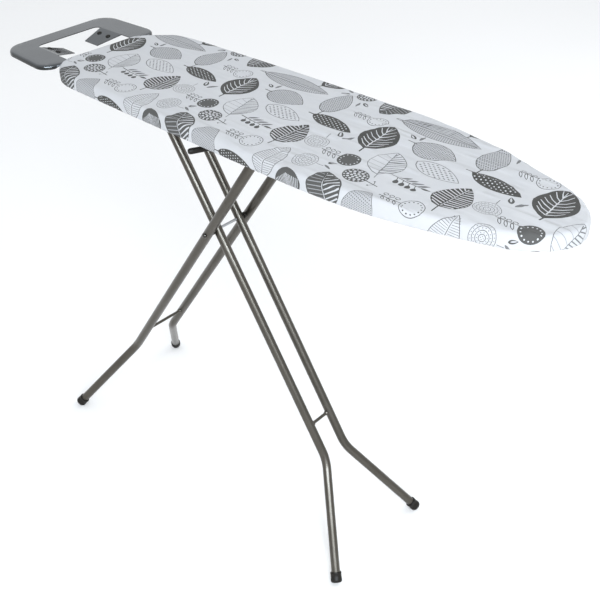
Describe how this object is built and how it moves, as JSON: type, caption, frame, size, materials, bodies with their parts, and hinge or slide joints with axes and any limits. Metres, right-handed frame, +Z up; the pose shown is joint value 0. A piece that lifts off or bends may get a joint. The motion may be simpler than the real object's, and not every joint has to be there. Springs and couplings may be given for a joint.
{
  "type": "ironing board",
  "caption": "Folding ironing board: cloth-covered padded deck with a stamped iron rest, on crossed tubular legs that fold flat when a squeeze lever frees the latch.",
  "frame": {"origin": "on the floor under the middle of the overall length, midway between the left and right feet", "axes": "+X towards the nose, +Z up, -Y the side the release lever is on"},
  "size_m": [1.22, 0.3382, 0.91],
  "materials": {
    "cover_cloth": "printed cotton, light grey with charcoal leaf shapes",
    "foam": "thin needled felt and foam underlay",
    "deck_paint": "light grey powder-coated sheet steel",
    "rest_steel": "smooth grey stamped steel, semi-gloss",
    "leg_paint": "silver-grey metallic lacquer on steel tube",
    "zinc_steel": "zinc-plated steel",
    "black_plastic": "black moulded plastic"
  },
  "bodies": {
    "deck": {"deck_sheet": "deck_paint", "foam_pad": "foam", "board_cover": "cover_cloth", "iron_rest_plate": "rest_steel", "iron_rest_spacer": "zinc_steel", "iron_rest_stud_1": "black_plastic", "iron_rest_stud_2": "black_plastic", "iron_rest_stud_3": "black_plastic", "iron_rest_stud_4": "black_plastic", "iron_rest_screw_1": "zinc_steel", "iron_rest_screw_2": "zinc_steel", "iron_rest_screw_3": "zinc_steel", "iron_rest_screw_4": "zinc_steel", "hinge_bracket_right": "zinc_steel", "guide_rail_right": "zinc_steel", "hinge_bracket_left": "zinc_steel", "guide_rail_left": "zinc_steel", "lever_ear_1": "zinc_steel", "lever_ear_2": "zinc_steel", "lever_pin": "zinc_steel", "return_spring": "zinc_steel"},
    "lever": {"latch_comb": "zinc_steel", "lever_rod": "zinc_steel", "lever_grip": "black_plastic"},
    "inner_leg": {"inner_tube_right": "leg_paint", "inner_tube_left": "leg_paint", "inner_crossbar": "leg_paint", "inner_foot_cap_right": "black_plastic", "inner_foot_cap_left": "black_plastic", "hinge_axle": "zinc_steel", "pivot_rod": "zinc_steel", "axle_cap_right": "zinc_steel", "axle_cap_left": "zinc_steel", "pivot_cap_right": "zinc_steel", "pivot_cap_left": "zinc_steel", "pivot_spacer_right": "black_plastic", "pivot_spacer_left": "black_plastic"},
    "outer_leg": {"outer_tube_right": "leg_paint", "outer_tube_left": "leg_paint", "outer_crossbar": "leg_paint", "outer_foot_cap_right": "black_plastic", "outer_foot_cap_left": "black_plastic", "catch_bar": "zinc_steel", "slide_bush_right": "black_plastic", "slide_bush_left": "black_plastic", "catch_bar_cap_right": "zinc_steel", "catch_bar_cap_left": "zinc_steel"}
  },
  "joints": [
    {"name": "leg_fold", "type": "hinge", "parent": "deck", "child": "inner_leg", "pos_m": [-0.26118, 0, 0.8626], "axis": [0, -1, 0], "range_deg": [0, 54]},
    {"name": "leg_cross", "type": "hinge", "parent": "inner_leg", "child": "outer_leg", "pos_m": [-0.105, 0, 0.6286], "axis": [0, -1, 0], "range_deg": [-108, 0]},
    {"name": "release_lever", "type": "hinge", "parent": "deck", "child": "lever", "pos_m": [0.16, 0.018, 0.885], "axis": [-1, 0, 0], "range_deg": [0, 6], "stiffness_Nm_per_rad": 2, "springref_deg": -6.88, "deforming": ["return_spring"]}
  ],
  "couplings": [
    {"joint": "leg_cross", "follows": "leg_fold", "ratio": -2}
  ]
}
